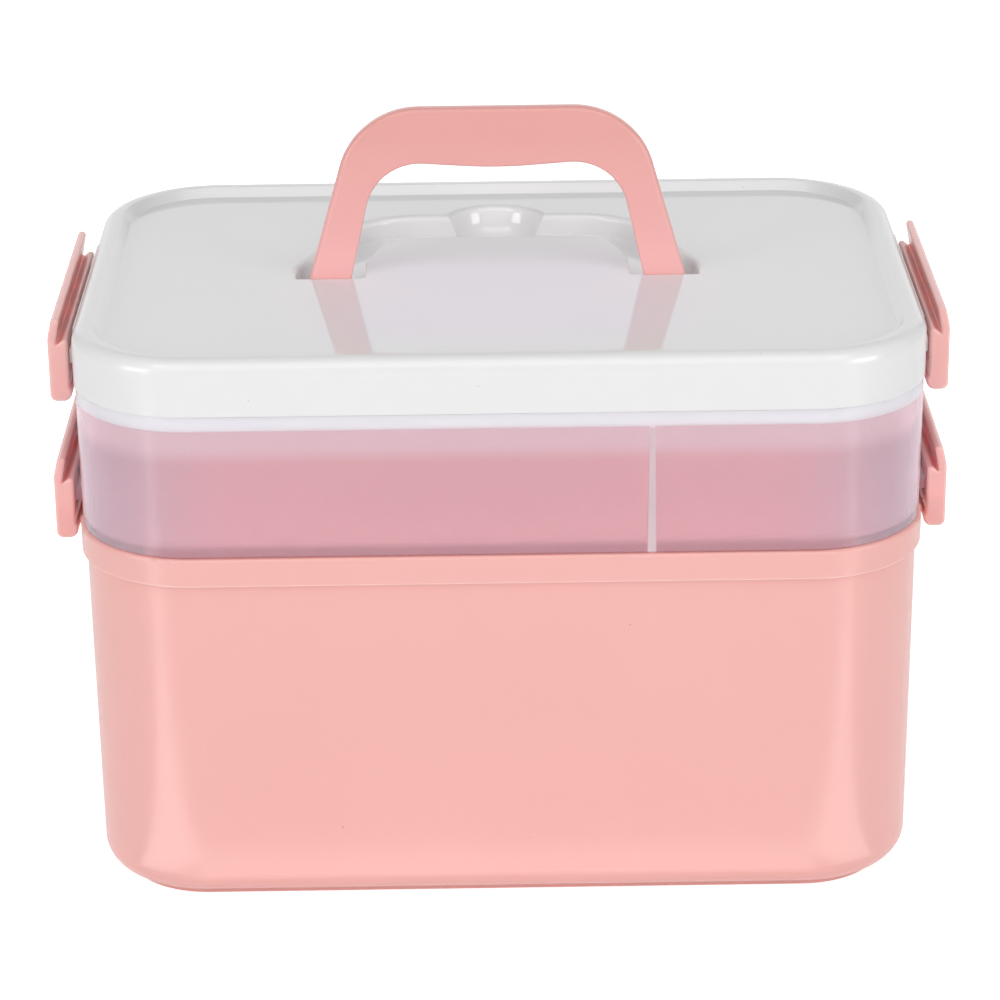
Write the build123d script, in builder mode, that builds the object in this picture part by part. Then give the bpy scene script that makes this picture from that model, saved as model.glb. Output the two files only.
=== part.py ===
from build123d import *
import os
from math import atan, degrees

# Two-tier carry case with a lift-off lid, a lift-out tray, a folding handle and four snap latches.
# Units are millimetres. +X is right, +Y is back, +Z is up. The origin is the middle of the bin's foot.

os.makedirs("parts", exist_ok=True)

# ---- Case outline, shared by the bin, the tray and the lid ----
case_length = 300.0
case_depth = 208.0
corner_radius = 42.0
seam_gap = 0.2              # air between stacked rims
match = 0.01                # how near a level an edge or a face has to lie to be picked

# ---- Bin ----
bin_height = 136.0
bin_wall = 2.4
bin_draft = 0.8             # each wall leans in by this much from rim to floor
bin_bottom_radius = 9.0
bin_inner_radius = 6.5
foot_height = 2.4
foot_width = 4.0
foot_setback = 8.6          # foot's outer face, in from the wall
band_height = 10.5
band_step = 1.8             # rim band stands proud of the wall
band_overhang = 0.3         # rim band stands proud of the lid
band_edge_radius = 1.2
band_step_radius = 0.8      # band's lower edge, and the corner under it

# ---- Tray ----
tray_height = 52.6
tray_wall = 2.2
tray_setback = 0.4          # tray wall, in from the lid's skirt
tray_draft = 0.3
tray_edge_radius = 0.8
tray_inner_radius = 2.0
spigot_depth = 4.6
spigot_wall = 2.0
spigot_clearance = 0.4
divider_place = 52.0        # divider's middle plane, right of centre
divider_foot = 3.4
divider_top = 1.8
divider_height = 44.0

# ---- Lid ----
lid_height = 20.2
skirt_wall = 1.8
panel_thickness = 2.2
rim_width = 7.4
rim_slope_width = 2.9
rim_slope_drop = 3.4
rim_edge_radius = 5.4
rim_inner_radius = 0.9
plug_depth = 4.8
plug_wall = 1.6
plug_clearance = 0.7

# ---- Handle ----
handle_thickness = 6.0
handle_rise = 68.0          # hinge axis to the top of the grip
handle_top_half = 50.5      # outer corner of the grip, before rounding
handle_foot_half = 70.7     # outer face of the legs at the bottom of their feet
handle_outer_radius = 30.0
opening_top_half = 43.4     # corner of the finger opening, before rounding
opening_foot_half = 55.0
opening_corner_rise = 48.7
opening_middle_rise = 45.6
opening_corner_radius = 20.0
opening_middle_radius = 180.0
handle_foot_radius = 2.9
handle_outer_edge_radius = 2.0
handle_inner_edge_radius = 0.7
handle_axis_y = -4.0
handle_axis_drop = 4.6      # hinge axis, below the lid's panel
stub_radius = 1.9
stub_length = 2.6           # beyond the channel's side
pin_clearance = 0.05        # all round every hinge pin

# ---- Handle channel and finger well in the lid ----
channel_gap = 0.3           # under and in front of the handle
channel_margin = 1.7        # beyond the folded grip
channel_wall = 2.0
channel_foot_half = 73.5
channel_foot_length = 12.0
channel_foot_radius = 20.0
channel_back_half = 51.9    # corner of the channel's back, before rounding
channel_corner_radius = 31.0
island_half = 48.3
island_straight = 14.0      # where the island's sides begin to draw in
island_side_radius = 6.0
island_shoulder_half = 40.5
island_length = 39.8        # island's back edge, from the case's middle
island_radius = 14.0
pocket_radius = 2.5         # pocket's corner beside the island
channel_edge_radius = 2.4
island_edge_radius = 0.5
well_half = 19.2            # the well's wall where its lip starts
well_floor_half = 15.4
well_lip_width = 3.0
well_lip_drop = 0.6
well_lip_over = 0.3         # the lip's slope runs on this far above the panel
well_lip_radius = 3.0
well_middle_y = 58.8
well_depth = 12.0
well_bottom_radius = 9.0

# ---- Latches: a profile drawn about its hinge axis, outward and up ----
latch_length = 102.0
latch_drop = 19.1           # hinge axis to the bottom
latch_inner = 1.7           # hinge axis to the face beside the case
latch_outer = 5.3
latch_shoulder_rise = 3.8
latch_shoulder_width = 1.7
groove_out = 2.5
groove_rise = 1.9
lip_rise = 11.9
lip_inner = 0.7
lip_outer = 3.6
lip_bend_rise = 4.5
bead_radius = 3.2
bead_out = 0.7              # bead's middle, out from the hinge axis
latch_corner_radius = 2.4
latch_bend_radius = 15.0
latch_shoulder_radius = 1.1
groove_radius = 0.3
lip_inner_radius = 1.3
lip_outer_radius = 1.4
latch_end_radius = 1.0
hinge_above_rim = 5.8       # hinge axis above the lower edge of the piece that carries it
catch_radius = 2.5
catch_reach = 2.5           # catch rib, out from the face that carries it
catch_above_bottom = 5.4    # catch rib's middle above the latch's bottom
catch_length = 94.0
bead_clearance = 0.3        # bead to catch rib
rail_length = 94.0
rail_gap = 0.2              # hinge rail to latch
rail_root = 1.4             # how far the rail reaches into the wall that carries it
rail_top_drop = 0.6
strip_reach = 1.3
strip_rise = 7.4
hinge_pin_radius = 1.15
knuckle_radius = 2.0
knuckle_width = 8.0
knuckle_pitch = 30.0
knuckle_mouth = 1.9
knuckle_side_gap = 0.5
neck_top_drop = 1.0         # knuckle's neck, below the hinge axis
neck_height = 2.0
window_clearance = 0.2      # knuckle to latch
window_rise = 0.6
window_drop = 5.1
window_reach = 0.4          # window, beyond the hinge axis
latch_pin_hold = 1.0        # each pin runs this far into the latch at both ends

# ---- Levels and faces worked out from the sizes above ----
tray_bottom = bin_height + seam_gap
tray_top = tray_bottom + tray_height
lid_bottom = tray_top + seam_gap
lid_top = lid_bottom + lid_height
panel_top = lid_top - rim_slope_drop
panel_bottom = panel_top - panel_thickness
band_bottom = bin_height - band_height
band_face = case_length / 2 + band_overhang
tray_face = case_length / 2 - tray_setback
lid_face = case_length / 2
plug_inset = tray_setback + tray_wall + plug_clearance
wall_inset = band_step - band_overhang
mouth_inset = wall_inset + bin_wall
handle_axis_z = panel_top - handle_axis_drop
channel_floor = handle_axis_z - handle_thickness / 2 - channel_gap
channel_front = handle_axis_y - handle_thickness / 2 - channel_gap
channel_back = handle_axis_y + handle_rise + channel_margin
handle_plane = Plane(origin=(0, handle_axis_y, handle_axis_z), x_dir=(1, 0, 0), z_dir=(0, -1, 0))
knuckle_places = (-knuckle_pitch, 0, knuckle_pitch)


def case_outline(inset, mode=Mode.ADD):
    """The case's rounded rectangle, drawn in by inset."""
    RectangleRounded(
        case_length - 2 * inset,
        case_depth - 2 * inset,
        corner_radius - inset,
        mode=mode,
    )


def draft_angle(lean, height):
    """The taper in degrees of a wall that leans by lean over height."""
    return degrees(atan(lean / height))


def mirrored(solid):
    """The same solid on the other side of the case."""
    return mirror(solid, about=Plane.YZ)


def make_shell_form(top, inset, depth, taper, radius):
    """A tapered block hanging below the level top, rounded along its lower edge."""
    with BuildPart() as block:
        with BuildSketch(Plane.XY.offset(top)):
            case_outline(inset)
        extrude(amount=-depth, taper=taper)
        fillet(block.edges().group_by(Axis.Z)[0], radius)
    return block.part


def make_catch_rib(face, level):
    """The half-round rib that a latch's bead snaps under, on the right side."""
    with BuildPart() as rib:
        with BuildSketch(Plane.XZ):
            with Locations((face + catch_reach - catch_radius, level)):
                Circle(catch_radius)
        extrude(amount=catch_length / 2, both=True)
    return rib.part


def make_hinge_rail(face, axis_x, bottom):
    """The rail on the right side, with the open knuckles that a latch's pins snap into."""
    axis_z = bottom + hinge_above_rim
    rail_face = axis_x - latch_inner - rail_gap
    rail_top = axis_z - rail_top_drop
    root = face - rail_root
    with BuildPart() as rail:
        with BuildSketch(Plane.XZ):
            with BuildLine():
                Polyline(
                    (root, bottom),
                    (rail_face, bottom),
                    (rail_face, rail_top),
                    (face + strip_reach, rail_top),
                    (face + strip_reach, axis_z + strip_rise),
                    (root, axis_z + strip_rise),
                    close=True,
                )
            make_face()
        extrude(amount=rail_length / 2, both=True)
        with Locations(*((axis_x, place, axis_z - neck_top_drop) for place in knuckle_places)):
            Box(
                axis_x - root,
                knuckle_width,
                neck_height,
                align=(Align.MAX, Align.CENTER, Align.MAX),
            )
        with Locations(*((axis_x, place, axis_z) for place in knuckle_places)):
            Cylinder(knuckle_radius, knuckle_width, rotation=(90, 0, 0))
            Cylinder(
                hinge_pin_radius + pin_clearance,
                knuckle_width,
                rotation=(90, 0, 0),
                mode=Mode.SUBTRACT,
            )
            Box(
                2 * knuckle_radius,
                knuckle_width,
                knuckle_mouth,
                align=(Align.MIN, Align.CENTER, Align.CENTER),
                mode=Mode.SUBTRACT,
            )
    return rail.part


def make_latch(axis_x, axis_z):
    """A latch on the right side: thumb lip, groove, body and bead in one section, with three pins."""
    bead_rise = bead_radius - latch_drop
    windows = [(axis_x, place, axis_z) for place in knuckle_places]
    window_width = knuckle_width + 2 * knuckle_side_gap
    with BuildPart() as latch:
        with BuildSketch(Plane(origin=(axis_x, 0, axis_z), x_dir=(1, 0, 0), z_dir=(0, -1, 0))):
            with BuildLine():
                FilletPolyline(
                    (-latch_inner, bead_rise),
                    (-latch_inner, latch_shoulder_rise),
                    (latch_shoulder_width - latch_inner, latch_shoulder_rise),
                    (groove_out, groove_rise),
                    (lip_inner, lip_rise),
                    (lip_outer, lip_rise),
                    (latch_outer, lip_bend_rise),
                    (latch_outer, -latch_drop),
                    (bead_out, -latch_drop),
                    radius=(
                        latch_shoulder_radius,
                        latch_shoulder_radius,
                        groove_radius,
                        lip_inner_radius,
                        lip_outer_radius,
                        latch_bend_radius,
                        latch_corner_radius,
                    ),
                )
                Line((bead_out, -latch_drop), (-latch_inner, bead_rise))
            make_face()
            with Locations((bead_out, bead_rise)):
                Circle(bead_radius)
        extrude(amount=latch_length / 2, both=True)
        ends = latch.faces().filter_by(Axis.Y).group_by(Axis.Y)
        fillet((ends[0] + ends[-1]).edges(), latch_end_radius)
        with Locations(*windows):
            Cylinder(
                knuckle_radius + window_clearance,
                window_width,
                rotation=(90, 0, 0),
                mode=Mode.SUBTRACT,
            )
        with Locations(*((x + window_reach, y, z + window_rise) for x, y, z in windows)):
            Box(
                2 * latch_inner,
                window_width,
                window_rise + window_drop,
                align=(Align.MAX, Align.CENTER, Align.MAX),
                mode=Mode.SUBTRACT,
            )
        with Locations(*windows):
            Cylinder(hinge_pin_radius, window_width + 2 * latch_pin_hold, rotation=(90, 0, 0))
    return latch.part


def make_channel_outline():
    """The handle's channel seen from above: a wide U round the island."""
    with BuildSketch() as outline:
        with BuildLine():
            FilletPolyline(
                (-channel_foot_half, channel_front),
                (-channel_foot_half, channel_front + channel_foot_length),
                (-channel_back_half, channel_back),
                (channel_back_half, channel_back),
                (channel_foot_half, channel_front + channel_foot_length),
                (channel_foot_half, channel_front),
                radius=(
                    channel_foot_radius,
                    channel_corner_radius,
                    channel_corner_radius,
                    channel_foot_radius,
                ),
            )
            FilletPolyline(
                (channel_foot_half, channel_front),
                (island_half, channel_front),
                (island_half, island_straight),
                (island_shoulder_half, island_length),
                (-island_shoulder_half, island_length),
                (-island_half, island_straight),
                (-island_half, channel_front),
                (-channel_foot_half, channel_front),
                radius=(
                    pocket_radius,
                    island_side_radius,
                    island_radius,
                    island_radius,
                    island_side_radius,
                    pocket_radius,
                ),
            )
        make_face()
    return outline.sketch


def channel_rim(piece, outside):
    """The edges where the channel opens in the panel: its outer side, or its front and the island."""
    def is_outer(edge):
        place = edge.center()
        if place.Y > island_length + match:
            return True
        return place.Y > channel_front + match and abs(place.X) > island_half + pocket_radius

    panel = piece.faces().filter_by_position(Axis.Z, panel_top - match, panel_top + match)
    rim = panel.sort_by(SortBy.AREA)[-1].inner_wires()[0].edges()
    return rim.filter_by(lambda edge: is_outer(edge) == outside)


def make_well(grow):
    """The dished finger well behind the island, with each wall moved out by grow."""
    well_plane = Plane(origin=(0, well_middle_y, panel_top), x_dir=(1, 0, 0), z_dir=(0, -1, 0))
    with BuildPart() as well:
        with BuildSketch(well_plane):
            with BuildLine():
                FilletPolyline(
                    (0, -well_depth - grow),
                    (well_floor_half + grow, -well_depth - grow),
                    (well_half + grow, -well_lip_drop),
                    (well_half + well_lip_width + grow, well_lip_over),
                    radius=(well_bottom_radius + grow, well_lip_radius),
                )
                Polyline(
                    (well_half + well_lip_width + grow, well_lip_over),
                    (0, well_lip_over),
                    (0, -well_depth - grow),
                )
            make_face()
        revolve(axis=Axis((0, well_middle_y, 0), (0, 0, 1)), revolution_arc=180)
        front = well.faces().filter_by(Plane.XZ)
        extrude(front, amount=well_middle_y - island_length + grow, dir=(0, -1, 0))
    return well.part


# ---- Where the latches hang and what they snap under ----
bead_face = catch_reach + bead_clearance + bead_radius
upper_axis_x = tray_face + bead_face - bead_out
lower_axis_x = band_face + bead_face - bead_out
upper_axis_z = lid_bottom + hinge_above_rim
lower_axis_z = tray_bottom + hinge_above_rim
catch_drop = latch_drop - catch_above_bottom

# ---- Bin: tapered shell with a rim band, a foot ring and a catch rib along each side ----
wall_height = band_bottom - foot_height
cavity_depth = bin_height - foot_height - bin_wall
bin_taper = draft_angle(bin_draft, wall_height)
foot_inset = wall_inset + bin_draft + foot_setback
bin_catch = make_catch_rib(band_face, lower_axis_z - catch_drop)

with BuildPart() as base_bin:
    add(make_shell_form(band_bottom, wall_inset, wall_height, bin_taper, bin_bottom_radius))
    with BuildSketch(Plane.XY.offset(band_bottom)):
        case_outline(-band_overhang)
    extrude(amount=band_height)
    fillet(base_bin.edges().group_by(Axis.Z)[-1], band_edge_radius)
    band_foot = base_bin.edges().filter_by_position(Axis.Z, band_bottom - match, band_bottom + match)
    fillet(band_foot, band_step_radius)
    add(bin_catch)
    add(mirrored(bin_catch))
    with BuildSketch():
        case_outline(foot_inset)
        case_outline(foot_inset + foot_width, mode=Mode.SUBTRACT)
    extrude(amount=foot_height + bin_wall / 2)
    bin_cavity = make_shell_form(bin_height, mouth_inset, cavity_depth, bin_taper, bin_inner_radius)
    add(bin_cavity, mode=Mode.SUBTRACT)
base_bin.part.label = "base_bin"
export_step(base_bin.part, "parts/base_bin.step")

# ---- Tray: shallow tapered tray with a spigot, a divider, hinge rails and catch ribs ----
tray_depth = tray_height - tray_wall
tray_floor = tray_bottom + tray_wall
tray_taper = draft_angle(tray_draft, tray_height)
spigot_inset = mouth_inset + spigot_clearance
tray_catch = make_catch_rib(tray_face, upper_axis_z - catch_drop)
tray_rail = make_hinge_rail(tray_face, lower_axis_x, tray_bottom)

with BuildPart() as middle_tray:
    add(make_shell_form(tray_top, tray_setback, tray_height, tray_taper, tray_edge_radius))
    add(tray_catch)
    add(mirrored(tray_catch))
    add(tray_rail)
    add(mirrored(tray_rail))
    with BuildSketch(Plane.XY.offset(tray_bottom - spigot_depth)):
        case_outline(spigot_inset)
        case_outline(spigot_inset + spigot_wall, mode=Mode.SUBTRACT)
    extrude(amount=spigot_depth + tray_wall / 2)
    tray_inset = tray_setback + tray_wall
    tray_cavity = make_shell_form(tray_top, tray_inset, tray_depth, tray_taper, tray_inner_radius)
    add(tray_cavity, mode=Mode.SUBTRACT)
    with BuildSketch(Plane.XZ):
        with BuildLine():
            Polyline(
                (divider_place - divider_foot / 2, tray_floor - tray_wall / 2),
                (divider_place + divider_foot / 2, tray_floor - tray_wall / 2),
                (divider_place + divider_top / 2, tray_floor + divider_height),
                (divider_place - divider_top / 2, tray_floor + divider_height),
                close=True,
            )
        make_face()
    extrude(amount=case_depth / 2 - tray_setback - tray_wall / 2 - tray_draft / 2, both=True)
middle_tray.part.label = "middle_tray"
export_step(middle_tray.part, "parts/middle_tray.step")

# ---- Lid: skirt and plug round a sunk panel, with the handle's channel and a finger well ----
slope_inset = rim_width + rim_slope_width
slope_angle = draft_angle(rim_slope_width, rim_slope_drop)
plug_bottom = lid_bottom - plug_depth
pan_bottom = channel_floor - channel_wall
lid_rail = make_hinge_rail(lid_face, upper_axis_x, lid_bottom)
channel_outline = make_channel_outline()

with BuildPart() as lid:
    with BuildSketch(Plane.XY.offset(lid_bottom)):
        case_outline(0)
    extrude(amount=lid_height)
    fillet(lid.edges().group_by(Axis.Z)[-1], rim_edge_radius)
    add(lid_rail)
    add(mirrored(lid_rail))
    with BuildSketch(Plane.XY.offset(lid_bottom)):
        case_outline(skirt_wall)
    extrude(amount=panel_bottom - lid_bottom, mode=Mode.SUBTRACT)
    with BuildSketch(Plane.XY.offset(plug_bottom)):
        case_outline(plug_inset)
        case_outline(plug_inset + plug_wall, mode=Mode.SUBTRACT)
    extrude(amount=panel_bottom - plug_bottom)
    with BuildSketch(Plane.XY.offset(pan_bottom)):
        add(channel_outline)
        offset(amount=channel_wall)
    extrude(amount=panel_top - pan_bottom)
    add(make_well(channel_wall))
    with BuildSketch(Plane.XY.offset(panel_top)):
        case_outline(slope_inset)
    extrude(amount=rim_slope_drop, taper=-slope_angle, mode=Mode.SUBTRACT)
    rim_top = lid.faces().filter_by(Plane.XY).sort_by(Axis.Z)[-1]
    fillet(rim_top.inner_wires()[0].edges(), rim_inner_radius)
    with BuildSketch(Plane.XY.offset(panel_top)):
        add(channel_outline)
    extrude(amount=channel_floor - panel_top, mode=Mode.SUBTRACT)
    fillet(channel_rim(lid, outside=True), channel_edge_radius)
    fillet(channel_rim(lid, outside=False), island_edge_radius)
    add(make_well(0), mode=Mode.SUBTRACT)
    with Locations((0, handle_axis_y, handle_axis_z)):
        Cylinder(
            stub_radius + pin_clearance,
            2 * (channel_foot_half + channel_wall + stub_length),
            rotation=(0, 90, 0),
            mode=Mode.SUBTRACT,
        )
lid.part.label = "lid"
export_step(lid.part, "parts/lid.step")

# ---- Handle: flat bow with a waisted finger opening, round feet and a stub on each foot ----
foot_bottom = -handle_thickness / 2
stub_end = channel_foot_half + stub_length
handle_leg_middle = (handle_foot_half + opening_foot_half) / 2

with BuildPart() as handle:
    with BuildSketch(handle_plane):
        with BuildLine():
            FilletPolyline(
                (-handle_foot_half, foot_bottom),
                (-handle_top_half, handle_rise),
                (handle_top_half, handle_rise),
                (handle_foot_half, foot_bottom),
                radius=handle_outer_radius,
            )
            Line((handle_foot_half, foot_bottom), (-handle_foot_half, foot_bottom))
        make_face()
    extrude(amount=handle_thickness / 2, both=True)
    fillet(handle.edges().filter_by(Axis.X).group_by(Axis.Z)[0], handle_foot_radius)
    outline = handle.faces().filter_by(Axis.Y).edges()
    fillet(outline - outline.filter_by(Axis.X).group_by(Axis.Z)[0], handle_outer_edge_radius)
    with BuildSketch(handle_plane):
        with BuildLine():
            FilletPolyline(
                (-opening_foot_half, foot_bottom),
                (-opening_top_half, opening_corner_rise),
                (0, opening_middle_rise),
                (opening_top_half, opening_corner_rise),
                (opening_foot_half, foot_bottom),
                radius=(opening_corner_radius, opening_middle_radius, opening_corner_radius),
            )
            Line((opening_foot_half, foot_bottom), (-opening_foot_half, foot_bottom))
        make_face()
    extrude(amount=handle_thickness, both=True, mode=Mode.SUBTRACT)
    opening_edges = handle.edges(Select.LAST).group_by(Axis.Y)
    fillet(opening_edges[0] + opening_edges[-1], handle_inner_edge_radius)
    with Locations((0, handle_axis_y, handle_axis_z)):
        with Locations((handle_leg_middle, 0, 0), (-handle_leg_middle, 0, 0)):
            Cylinder(stub_radius, 2 * (stub_end - handle_leg_middle), rotation=(0, 90, 0))
handle.part.label = "handle"
export_step(handle.part, "parts/handle.step")

# ---- Latches: one form on both sides, hung on the lid above and on the tray below ----
for level, axis_x, axis_z in (
    ("upper", upper_axis_x, upper_axis_z),
    ("lower", lower_axis_x, lower_axis_z),
):
    right_latch = make_latch(axis_x, axis_z)
    for side, solid in (("right", right_latch), ("left", mirrored(right_latch))):
        with BuildPart() as latch:
            add(solid)
        latch.part.label = f"{level}_{side}_latch"
        export_step(latch.part, f"parts/{level}_{side}_latch.step")
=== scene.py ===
from math import cos, pi, radians, sin

import bpy
from mathutils import Matrix, Vector

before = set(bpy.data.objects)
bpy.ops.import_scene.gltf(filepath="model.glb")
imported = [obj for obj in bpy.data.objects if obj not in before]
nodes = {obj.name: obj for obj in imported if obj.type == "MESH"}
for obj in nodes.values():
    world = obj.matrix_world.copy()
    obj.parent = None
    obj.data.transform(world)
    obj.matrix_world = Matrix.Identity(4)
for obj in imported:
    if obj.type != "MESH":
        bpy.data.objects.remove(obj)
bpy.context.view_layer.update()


# ---- Camera ----
# A long lens looks down on the case from straight in front, a little rolled, as in the photograph.
# Its place is an angle and a distance round a point on the case's middle line. Lengths are in
# metres, and the lens and the film in millimetres.
camera_target = Vector((0.0, 0.0, 0.120))
camera_distance = 1.3462
camera_azimuth = radians(-0.302)
camera_elevation = radians(22.014)
camera_roll = radians(-0.678)
camera_lens = 128.9
camera_film = 36.0
camera_rise = -0.0132        # shift of the picture, as a share of the film's width

back = Vector((
    sin(camera_azimuth) * cos(camera_elevation),
    -cos(camera_azimuth) * cos(camera_elevation),
    sin(camera_elevation),
))
level = Vector((cos(camera_azimuth), sin(camera_azimuth), 0.0))
upright = back.cross(level)
right = level * cos(camera_roll) + upright * sin(camera_roll)
top = upright * cos(camera_roll) - level * sin(camera_roll)
camera_data = bpy.data.cameras.new("camera")
camera_data.sensor_width = camera_film
camera_data.lens = camera_lens
camera_data.shift_y = camera_rise
camera = bpy.data.objects.new("camera", camera_data)
camera_place = Matrix.Translation(camera_target + back * camera_distance)
camera_turn = Matrix((right, top, back)).transposed().to_4x4()
camera.matrix_world = camera_place @ camera_turn
bpy.context.scene.collection.objects.link(camera)
bpy.context.scene.camera = camera


# ---- Base bin ----
# The deep box that the case stands on: pink polypropylene, injection moulded in a polished tool.
# To the eye it has a soft gloss with a slight orange peel, faint flow clouds, and a few specks of
# unmixed pigment. A thin paler line, a painted highlight, runs round the lower edge of its rim
# band.
bin_pink = "#F2B6B0"
bin_flow = "#EFB3AC"
pigment_speck = "#D59A93"
# The colour of the painted highlight along the rim band's lower edge.
lip_highlight = "#FFD0CA"
lip_low, lip_high, lip_soft = 0.1253, 0.1261, 0.0002     # heights, and the line's soft edge
bin_roughness = (0.21, 0.265)     # a range across 0.27 comes out blotchy when denoised
bin_peel = 1.0                    # strength of the orange peel
polypropylene_ior = 1.49
peel_pitch = 0.0035          # metres from wave to wave of the orange peel
peel_depth = 0.00001
peel_detail = 2.0
cloud_size = 0.060
cloud_detail = 3.0
gloss_patch = 0.025
noise_low, noise_high = 0.3, 0.7     # a noise pattern seldom leaves this range
speck_pitch = 0.020          # about one speck in a cube of this side
speck_size = 0.0003
speck_fade = 1.6             # a speck is gone at this many times its size


def linear(colour):
    """The linear colour of an sRGB hex value."""
    values = [int(colour[i:i + 2], 16) / 255 for i in (1, 3, 5)]
    return [v / 12.92 if v <= 0.04045 else ((v + 0.055) / 1.055) ** 2.4 for v in values] + [1.0]


def add_node(tree, kind, settings={}, links={}):
    """Adds one node, sets its attributes and sockets, and links the sockets named in links.

    A number stands for a socket whose name others on the same node share.
    """
    node = tree.nodes.new(kind)
    for name, value in settings.items():
        if isinstance(name, int) or name in node.inputs:
            node.inputs[name].default_value = value
        else:
            setattr(node, name, value)
    for name, source in links.items():
        tree.links.new(source, node.inputs[name])
    return node


def moulded_plastic(name, colour, flow_colour, speck_colour, roughness, peel, sockets={}):
    """Moulded polypropylene: a clouded colour with specks, a patchy gloss and an orange peel.

    Returns the material, its shader, the socket with the colour and the one with the place.
    """
    material = bpy.data.materials.new(name)
    material.use_nodes = True
    tree = material.node_tree
    tree.nodes.clear()
    place = add_node(tree, "ShaderNodeTexCoord").outputs["Object"]
    clouds = add_node(
        tree,
        "ShaderNodeTexNoise",
        {"Scale": 1 / cloud_size, "Detail": cloud_detail},
        {"Vector": place},
    )
    flow = add_node(
        tree,
        "ShaderNodeMix",
        {"data_type": "RGBA", 6: linear(colour), 7: linear(flow_colour)},
        {0: clouds.outputs["Fac"]},
    )
    cells = add_node(
        tree, "ShaderNodeTexVoronoi", {"Scale": 1 / speck_pitch}, {"Vector": place}
    )
    speck = add_node(
        tree,
        "ShaderNodeMapRange",
        {
            "From Min": speck_size / speck_pitch,
            "From Max": speck_fade * speck_size / speck_pitch,
            "To Min": 1.0,
            "To Max": 0.0,
        },
        {"Value": cells.outputs["Distance"]},
    )
    tint = add_node(
        tree,
        "ShaderNodeMix",
        {"data_type": "RGBA", 7: linear(speck_colour)},
        {0: speck.outputs["Result"], 6: flow.outputs[2]},
    )
    patches = add_node(tree, "ShaderNodeTexNoise", {"Scale": 1 / gloss_patch}, {"Vector": place})
    gloss = add_node(
        tree,
        "ShaderNodeMapRange",
        {
            "From Min": noise_low,
            "From Max": noise_high,
            "To Min": roughness[0],
            "To Max": roughness[1],
        },
        {"Value": patches.outputs["Fac"]},
    )
    waves = add_node(
        tree,
        "ShaderNodeTexNoise",
        {"Scale": 1 / peel_pitch, "Detail": peel_detail},
        {"Vector": place},
    )
    bump = add_node(
        tree,
        "ShaderNodeBump",
        {"Strength": peel, "Distance": peel_depth},
        {"Height": waves.outputs["Fac"]},
    )
    plastic = add_node(
        tree,
        "ShaderNodeBsdfPrincipled",
        {"IOR": polypropylene_ior, **sockets},
        {
            "Base Color": tint.outputs[2],
            "Roughness": gloss.outputs["Result"],
            "Normal": bump.outputs["Normal"],
        },
    )
    add_node(tree, "ShaderNodeOutputMaterial", {}, {"Surface": plastic.outputs["BSDF"]})
    return material, plastic, tint.outputs[2], place


def dress(node, material):
    """Gives a CAD node its material."""
    nodes[node].data.materials.clear()
    nodes[node].data.materials.append(material)


bin_plastic, plastic, tint, place = moulded_plastic(
    "Polypropylene, pink, bin", bin_pink, bin_flow, pigment_speck, bin_roughness, bin_peel
)
tree = bin_plastic.node_tree
bin_axes = add_node(tree, "ShaderNodeSeparateXYZ", {}, {0: place})
# A painted highlight: a thin paler band along the lower edge of the rim band.
lip_above = add_node(
    tree,
    "ShaderNodeMapRange",
    {"From Min": lip_low - lip_soft, "From Max": lip_low},
    {"Value": bin_axes.outputs["Z"]},
)
lip_highlight_band = add_node(
    tree,
    "ShaderNodeMapRange",
    {"From Min": lip_high + lip_soft, "From Max": lip_high},
    {"Value": bin_axes.outputs["Z"], "To Max": lip_above.outputs[0]},
)
lip_highlight_tint = add_node(
    tree,
    "ShaderNodeMix",
    {"data_type": "RGBA", 7: linear(lip_highlight)},
    {0: lip_highlight_band.outputs[0], 6: tint},
)
tree.links.new(lip_highlight_tint.outputs[2], plastic.inputs["Base Color"])
dress("base_bin", bin_plastic)


# ---- Middle tray ----
# The shallow lift-out tray between bin and lid: natural polypropylene with a little rose in it,
# moulded thin. To the eye it is a rosy haze with the light coming through, milkier in a collar
# round the lid's white plug, lilac at its ends, and darker along its foot.
tray_rose = "#F8CCD4"
tray_haze = "#FBE2EA"
tray_lilac = "#DFD1DE"
tray_collar = "#EFEEF3"
tray_rib = "#F6E2E9"         # the pale line where the divider meets the wall
tray_foot = "#CC98A3"
tray_scuff = "#FFFFFF"
tray_roughness = (0.19, 0.23)
tray_peel = 0.15
tray_passes = 0.665          # share of the light that goes into the plastic and through
collar_passes = 0.40
rib_passes = 0.42
foot_passes = 0.35
tray_shadow = 0.10           # share of a lamp's light that the thin wall stops
haze_from, haze_full = 0.1705, 0.1775          # heights where each zone starts and is full
collar_from, collar_full = 0.1834, 0.1838
foot_from, foot_full = 0.1420, 0.1388
wall_from, wall_full = 0.0995, 0.1010     # the foot band stays on the outside of the wall
tray_long_extra = 0.046      # how far the tray reaches out further in length than in depth
corner_from, corner_full = 0.088, 0.146   # from the middle, along the length
corner_share = 0.70
rib_middle = 0.052           # from the middle, along the length
rib_low_half, rib_high_half = 0.0015, 0.0010   # half the line's width, at its foot and its top
rib_low, rib_high = 0.1362, 0.1770
rib_edge = 0.0002

tray_plastic, plastic, tint, place = moulded_plastic(
    "Polypropylene, natural, tray", tray_rose, tray_rose, tray_scuff, tray_roughness, tray_peel
)
tree = tray_plastic.node_tree
tray_axes = add_node(tree, "ShaderNodeSeparateXYZ", {}, {0: place})
tray_height = tray_axes.outputs["Z"]
from_middle = add_node(
    tree, "ShaderNodeMath", {"operation": "ABSOLUTE"}, {0: tray_axes.outputs["X"]}
)
at_corner = add_node(
    tree,
    "ShaderNodeMapRange",
    {
        "interpolation_type": "SMOOTHSTEP",
        "From Min": corner_from,
        "From Max": corner_full,
        "To Max": corner_share,
    },
    {"Value": from_middle.outputs[0]},
)
from_rib = add_node(
    tree, "ShaderNodeMath", {"operation": "SUBTRACT", 1: rib_middle}, {0: tray_axes.outputs["X"]}
)
off_rib = add_node(tree, "ShaderNodeMath", {"operation": "ABSOLUTE"}, {0: from_rib.outputs[0]})
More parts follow.
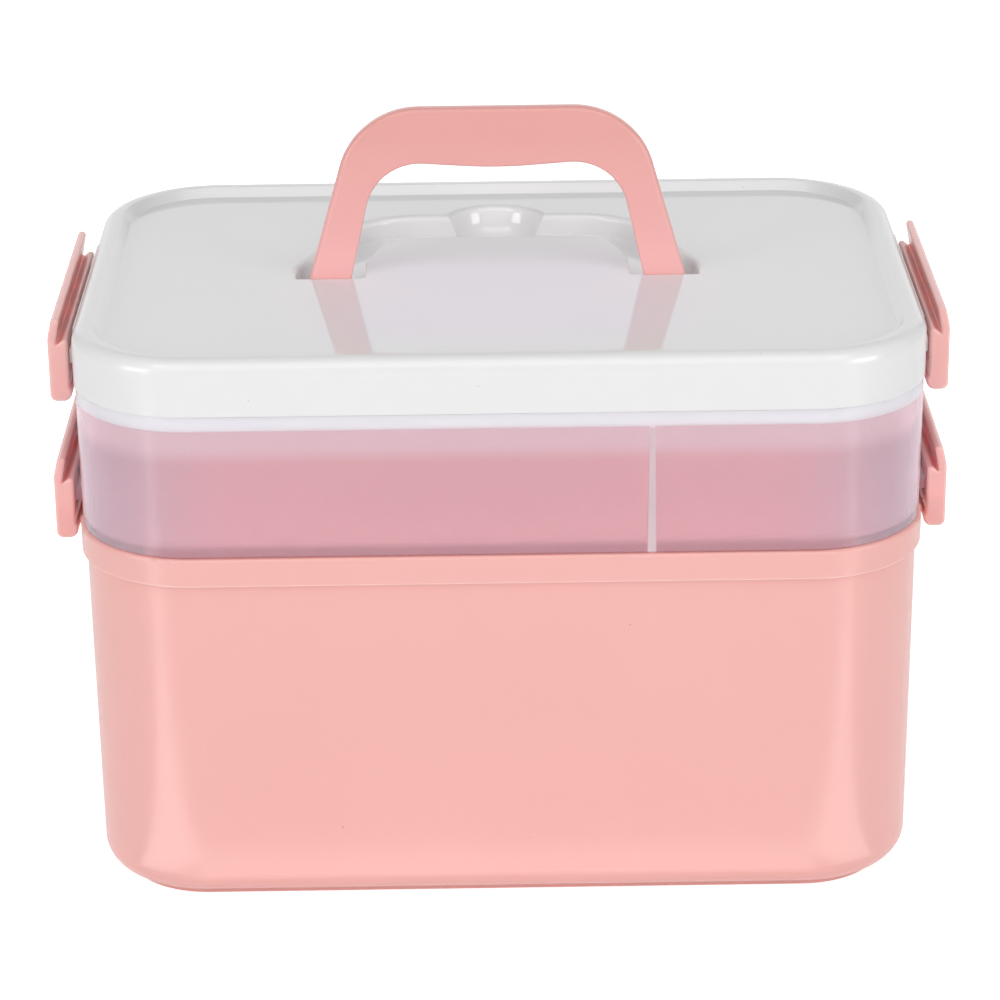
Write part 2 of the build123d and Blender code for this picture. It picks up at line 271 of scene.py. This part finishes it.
rib_half = add_node(
    tree,
    "ShaderNodeMapRange",
    {"From Min": rib_low, "From Max": rib_high, "To Min": rib_low_half, "To Max": rib_high_half},
    {"Value": tray_height},
)
rib_inside = add_node(
    tree,
    "ShaderNodeMath",
    {"operation": "SUBTRACT"},
    {0: rib_half.outputs[0], 1: off_rib.outputs[0]},
)
rib_side = add_node(
    tree,
    "ShaderNodeMapRange",
    {"From Min": -rib_edge, "From Max": rib_edge},
    {"Value": rib_inside.outputs[0]},
)
from_centre = add_node(
    tree, "ShaderNodeMath", {"operation": "ABSOLUTE"}, {0: tray_axes.outputs["Y"]}
)
past_square = add_node(
    tree,
    "ShaderNodeMath",
    {"operation": "SUBTRACT", 1: tray_long_extra},
    {0: from_middle.outputs[0]},
)
outward = add_node(
    tree,
    "ShaderNodeMath",
    {"operation": "MAXIMUM"},
    {0: past_square.outputs[0], 1: from_centre.outputs[0]},
)
on_wall = add_node(
    tree,
    "ShaderNodeMapRange",
    {"From Min": wall_from, "From Max": wall_full},
    {"Value": outward.outputs[0]},
)
low_down = add_node(
    tree,
    "ShaderNodeMapRange",
    {"From Min": foot_from, "From Max": foot_full},
    {"Value": tray_height, "To Max": on_wall.outputs[0]},
)
# Each zone lies over those before it. It has a place, a colour, and the share of light that it
# passes where that isn't the tray's own.
zones = (
    (at_corner.outputs[0], tray_lilac, None),
    ((haze_from, haze_full), tray_haze, None),
    (low_down.outputs[0], tray_foot, foot_passes),
    (rib_side.outputs[0], tray_rib, rib_passes),
    ((collar_from, collar_full), tray_collar, collar_passes),
)
passes = None
for zone, zone_colour, zone_passes in zones:
    if isinstance(zone, tuple):
        zone = add_node(
            tree,
            "ShaderNodeMapRange",
            {"interpolation_type": "SMOOTHSTEP", "From Min": zone[0], "From Max": zone[1]},
            {"Value": tray_height},
        ).outputs[0]
    tint = add_node(
        tree, "ShaderNodeMix", {"data_type": "RGBA", 7: linear(zone_colour)}, {0: zone, 6: tint}
    ).outputs[2]
    if zone_passes is not None:
        passes = add_node(
            tree,
            "ShaderNodeMapRange",
            {"To Min": tray_passes, "To Max": zone_passes},
            {"Value": zone, **({"To Min": passes} if passes else {})},
        ).outputs[0]
tree.links.new(tint, plastic.inputs["Base Color"])
tree.links.new(passes, plastic.inputs["Transmission Weight"])
# To a lamp the wall is nearly clear, which stands in for light that scatters through it.
rays = add_node(tree, "ShaderNodeLightPath")
past_wall = add_node(
    tree,
    "ShaderNodeMath",
    {"operation": "MULTIPLY", 1: 1 - tray_shadow},
    {0: rays.outputs["Is Shadow Ray"]},
)
clear = add_node(tree, "ShaderNodeBsdfTransparent")
tray_surface = add_node(
    tree,
    "ShaderNodeMixShader",
    {},
    {0: past_wall.outputs[0], 1: plastic.outputs["BSDF"], 2: clear.outputs["BSDF"]},
)
tree.links.new(tray_surface.outputs["Shader"], tree.nodes["Material Output"].inputs["Surface"])
dress("middle_tray", tray_plastic)


# ---- Lid ----
# The flat lid with its recess for the folded handle, whose plug sits in the tray: white
# polypropylene from a mirror-polished tool. To the eye its panel shows the legs of the handle and
# the studio, and its rim and skirt, from a part of the tool with less polish, only a soft shine.
lid_white = "#E8E8E8"
lid_flow = "#E6E6E7"
lid_speck = "#D8D8D8"
lid_roughness = (0.06, 0.08)
rim_roughness = 0.20
lid_peel = 0.15
panel_ends, rim_starts = 0.0900, 0.0930   # out from the middle, across the depth
lid_long_extra = 0.046       # how far the lid reaches out further in length than in depth
lid_ior = 1.56
lid_recess_light = "#F3F3F4"       # painted light: the recess is paler, as if light glowed through its thin walls
lid_lilac = "#E6E2EB"        # a faint lilac cast between the feet of the handle
cast_full, cast_from = 0.030, 0.085       # from the middle, along the length
cast_front, cast_back = (-0.0890, -0.0600), (0.045, 0.000)
recess_depth = (0.2056, 0.2046)           # height where the recess starts and is full
recess_front, recess_back, recess_side = (0.000, 0.030), (0.084, 0.082), (0.083, 0.081)

lid_plastic, plastic, tint, place = moulded_plastic(
    "Polypropylene, white, lid",
    lid_white,
    lid_flow,
    lid_speck,
    lid_roughness,
    lid_peel,
    {"IOR": lid_ior},
)
tree = lid_plastic.node_tree
lid_axes = add_node(tree, "ShaderNodeSeparateXYZ", {}, {0: place})
lid_side = add_node(
    tree, "ShaderNodeMath", {"operation": "ABSOLUTE"}, {0: lid_axes.outputs["X"]}
)
cast = add_node(
    tree,
    "ShaderNodeMapRange",
    {"interpolation_type": "SMOOTHSTEP", "From Min": cast_from, "From Max": cast_full},
    {"Value": lid_side.outputs[0]},
)
lid_centre = add_node(
    tree, "ShaderNodeMath", {"operation": "ABSOLUTE"}, {0: lid_axes.outputs["Y"]}
)
lid_square = add_node(
    tree, "ShaderNodeMath", {"operation": "SUBTRACT", 1: lid_long_extra}, {0: lid_side.outputs[0]}
)
lid_outward = add_node(
    tree,
    "ShaderNodeMath",
    {"operation": "MAXIMUM"},
    {0: lid_square.outputs[0], 1: lid_centre.outputs[0]},
)
panel_gloss = plastic.inputs["Roughness"].links[0].from_socket
rim_gloss = add_node(
    tree,
    "ShaderNodeMapRange",
    {"From Min": panel_ends, "From Max": rim_starts, "To Max": rim_roughness},
    {"Value": lid_outward.outputs[0], "To Min": panel_gloss},
)
tree.links.new(rim_gloss.outputs[0], plastic.inputs["Roughness"])
for near, far in (cast_front, cast_back):
    along = add_node(
        tree,
        "ShaderNodeMapRange",
        {"interpolation_type": "SMOOTHSTEP", "From Min": near, "From Max": far},
        {"Value": lid_axes.outputs["Y"]},
    )
    cast = add_node(
        tree, "ShaderNodeMath", {"operation": "MULTIPLY"}, {0: cast.outputs[0], 1: along.outputs[0]}
    )
cast_tint = add_node(
    tree,
    "ShaderNodeMix",
    {"data_type": "RGBA", 7: linear(lid_lilac)},
    {0: cast.outputs[0], 6: tint},
)
in_recess = None
for (near, far), way in (
    (recess_depth, lid_axes.outputs["Z"]),
    (recess_front, lid_axes.outputs["Y"]),
    (recess_back, lid_axes.outputs["Y"]),
    (recess_side, lid_side.outputs[0]),
):
    in_recess = add_node(
        tree,
        "ShaderNodeMapRange",
        {"From Min": near, "From Max": far},
        {"Value": way, **({"To Max": in_recess} if in_recess else {})},
    ).outputs[0]
# Painted light: the recess is made paler, as if light glowed through its thin walls.
recess_light_tint = add_node(
    tree,
    "ShaderNodeMix",
    {"data_type": "RGBA", 7: linear(lid_recess_light)},
    {0: in_recess, 6: cast_tint.outputs[2]},
)
tree.links.new(recess_light_tint.outputs[2], plastic.inputs["Base Color"])
dress("lid", lid_plastic)


# ---- Handle ----
# The swinging handle, which turns on a stub at each foot: the bin's plastic in a slightly deeper
# pink, moulded in one piece. To the eye it has a soft gloss. It is painted paler toward its feet,
# which stands in for light bounced up from the white lid.
grip_pink = "#E7A59F"
grip_flow = "#E5A29C"
lit_foot_pink = "#F9B9B6"
grip_roughness = (0.21, 0.26)
grip_peel = 0.6
paler_from, paler_full = 0.258, 0.214     # heights

handle_plastic, plastic, tint, place = moulded_plastic(
    "Polypropylene, pink, handle", grip_pink, grip_flow, pigment_speck, grip_roughness, grip_peel
)
tree = handle_plastic.node_tree
handle_axes = add_node(tree, "ShaderNodeSeparateXYZ", {}, {0: place})
# Painted light: paler toward the feet, as if lit by light bounced up from the lid.
paler = add_node(
    tree,
    "ShaderNodeMapRange",
    {"From Min": paler_from, "From Max": paler_full},
    {"Value": handle_axes.outputs["Z"]},
)
leg_painted_light = add_node(
    tree,
    "ShaderNodeMix",
    {"data_type": "RGBA", 7: linear(lit_foot_pink)},
    {0: paler.outputs[0], 6: tint},
)
tree.links.new(leg_painted_light.outputs[2], plastic.inputs["Base Color"])
dress("handle", handle_plastic)


# ---- Latches ----
# Four clips of the same pink plastic, moulded with their pins, hang on rails of the lid and the
# tray, and snap under a rib of the piece below. They are thin, so to the eye light bleeds through
# them a little and warms their grooves.
latch_pink = "#FABFBB"
latch_flow = "#F8BCB7"
latch_roughness = (0.18, 0.22)
latch_peel = 0.5
latch_bleed = 0.6
latch_bleed_depth = 0.006
latch_bleed_reach = (1.0, 0.5, 0.45)      # red, green and blue, as shares of the depth

latch_plastic, *_ = moulded_plastic(
    "Polypropylene, pink, latches",
    latch_pink,
    latch_flow,
    pigment_speck,
    latch_roughness,
    latch_peel,
    {
        "Subsurface Weight": latch_bleed,
        "Subsurface Scale": latch_bleed_depth,
        "Subsurface Radius": latch_bleed_reach,
    },
)
for latch in ("upper_right_latch", "upper_left_latch", "lower_right_latch", "lower_left_latch"):
    dress(latch, latch_plastic)


# ---- Floor, backdrop and light ----
# The case stands on matt white paper in a white studio, lit by softboxes in front, at the sides and
# behind. Two small lamps and the slim cards that lie on the paper show only in gloss.
floor_size = 8.0
floor_white = "#F2F2F2"
paper_roughness = 0.9
floor_lift = 0.70            # how far the paper shines by itself, seen straight or through plastic
floor_gloss = 0.42           # the same, seen in gloss
room_light = 0.35            # how bright the room is for the case
room_gloss = 0.57            # the same, seen in gloss

paper = bpy.data.materials.new("Paper, white, matt")
paper.use_nodes = True
tree = paper.node_tree
tree.nodes.clear()
rays = add_node(tree, "ShaderNodeLightPath")
seen = add_node(
    tree,
    "ShaderNodeMath",
    {"operation": "MAXIMUM"},
    {0: rays.outputs["Is Camera Ray"], 1: rays.outputs["Is Transmission Ray"]},
)
in_gloss = add_node(
    tree,
    "ShaderNodeMath",
    {"operation": "MULTIPLY", 1: floor_gloss},
    {0: rays.outputs["Is Glossy Ray"]},
)
lift = add_node(
    tree,
    "ShaderNodeMath",
    {"operation": "MULTIPLY_ADD", 1: floor_lift},
    {0: seen.outputs[0], 2: in_gloss.outputs[0]},
)
sheet = add_node(
    tree,
    "ShaderNodeBsdfPrincipled",
    {
        "Base Color": linear(floor_white),
        "Roughness": paper_roughness,
        "Specular IOR Level": 0.0,
        "Emission Color": (1, 1, 1, 1),
    },
    {"Emission Strength": lift.outputs[0]},
)
add_node(tree, "ShaderNodeOutputMaterial", {}, {"Surface": sheet.outputs["BSDF"]})

floor_half = floor_size / 2
floor_mesh = bpy.data.meshes.new("floor")
floor_mesh.from_pydata(
    [
        (-floor_half, -floor_half, 0),
        (floor_half, -floor_half, 0),
        (floor_half, floor_half, 0),
        (-floor_half, floor_half, 0),
    ],
    [],
    [(0, 1, 2, 3)],
)
floor_mesh.materials.append(paper)
floor = bpy.data.objects.new("floor", floor_mesh)
bpy.context.scene.collection.objects.link(floor)

room = bpy.data.worlds.new("studio")
room.use_nodes = True
tree = room.node_tree
tree.nodes.clear()
rays = add_node(tree, "ShaderNodeLightPath")
backdrop = add_node(
    tree,
    "ShaderNodeMath",
    {"operation": "MAXIMUM"},
    {0: rays.outputs["Is Camera Ray"], 1: rays.outputs["Is Transmission Ray"]},
)
in_gloss = add_node(
    tree,
    "ShaderNodeMapRange",
    {"To Min": room_light, "To Max": room_gloss},
    {"Value": rays.outputs["Is Glossy Ray"]},
)
brightness = add_node(
    tree,
    "ShaderNodeMapRange",
    {"To Max": 1.0},
    {"Value": backdrop.outputs[0], "To Min": in_gloss.outputs[0]},
)
sky = add_node(
    tree, "ShaderNodeBackground", {"Color": (1, 1, 1, 1)}, {"Strength": brightness.outputs[0]}
)
add_node(tree, "ShaderNodeOutputWorld", {}, {"Surface": sky.outputs["Background"]})
bpy.context.scene.world = room


def softbox(name, place, aim, width, height, radiance):
    """A rectangular softbox, as bright as a white sheet that shines with this radiance."""
    data = bpy.data.lights.new(name, "AREA")
    data.shape = "RECTANGLE"
    data.size = width
    data.size_y = height
    data.energy = radiance * width * height * pi
    lamp = bpy.data.objects.new(name, data)
    lamp.location = place
    lamp.rotation_euler = (Vector(aim) - Vector(place)).to_track_quat("-Z", "Y").to_euler()
    lamp.visible_camera = False
    bpy.context.scene.collection.objects.link(lamp)
    return lamp


case_middle = (0.0, 0.0, 0.12)
lid_middle = (0.0, 0.0, 0.20)
softbox("front", (0.0, -1.15, 1.76), case_middle, width=2.4, height=1.6, radiance=1.27)
for name, side in (("left", -1), ("right", 1)):
    softbox(
        f"{name} side",
        (side * 1.52, -1.22, 0.60),
        case_middle,
        width=0.9,
        height=0.9,
        radiance=4.4,
    )
    spark = softbox(
        f"{name} spark",
        (side * 0.7, -0.8, 1.45),
        lid_middle,
        width=0.16,
        height=0.16,
        radiance=9.0,
    )
    spark.visible_diffuse = False
    spark.visible_transmission = False
behind = softbox("behind", (0.0, 3.2, 1.05), lid_middle, width=4.0, height=2.1, radiance=0.64)
behind.visible_transmission = False

# Each card has a name, the middle of its edge near the case, its turn in degrees, its width, its
# length away from the case, and its radiance. It faces up, with its length turned from the case.
card_lift = 0.004
cards = (
    ("left corner", (-0.130, -0.112), -43, 0.05, 0.50, 2.3),
    ("right corner", (0.130, -0.112), 44, 0.05, 0.50, 2.0),
    ("front", (0.0, -0.108), 0, 0.23, 0.026, 1.3),
)
for name, near, turn, width, length, radiance in cards:
    turn = radians(turn)
    away = Vector((sin(turn), -cos(turn), 0.0))
    middle = Vector((*near, card_lift)) + away * (length / 2)
    card = softbox(f"{name} card", middle, middle + Vector((0, 0, 1)), width, length, radiance)
    card.rotation_euler = (pi, 0.0, turn)
    card.visible_diffuse = False
    card.visible_transmission = False

bpy.context.scene.view_settings.view_transform = "Standard"
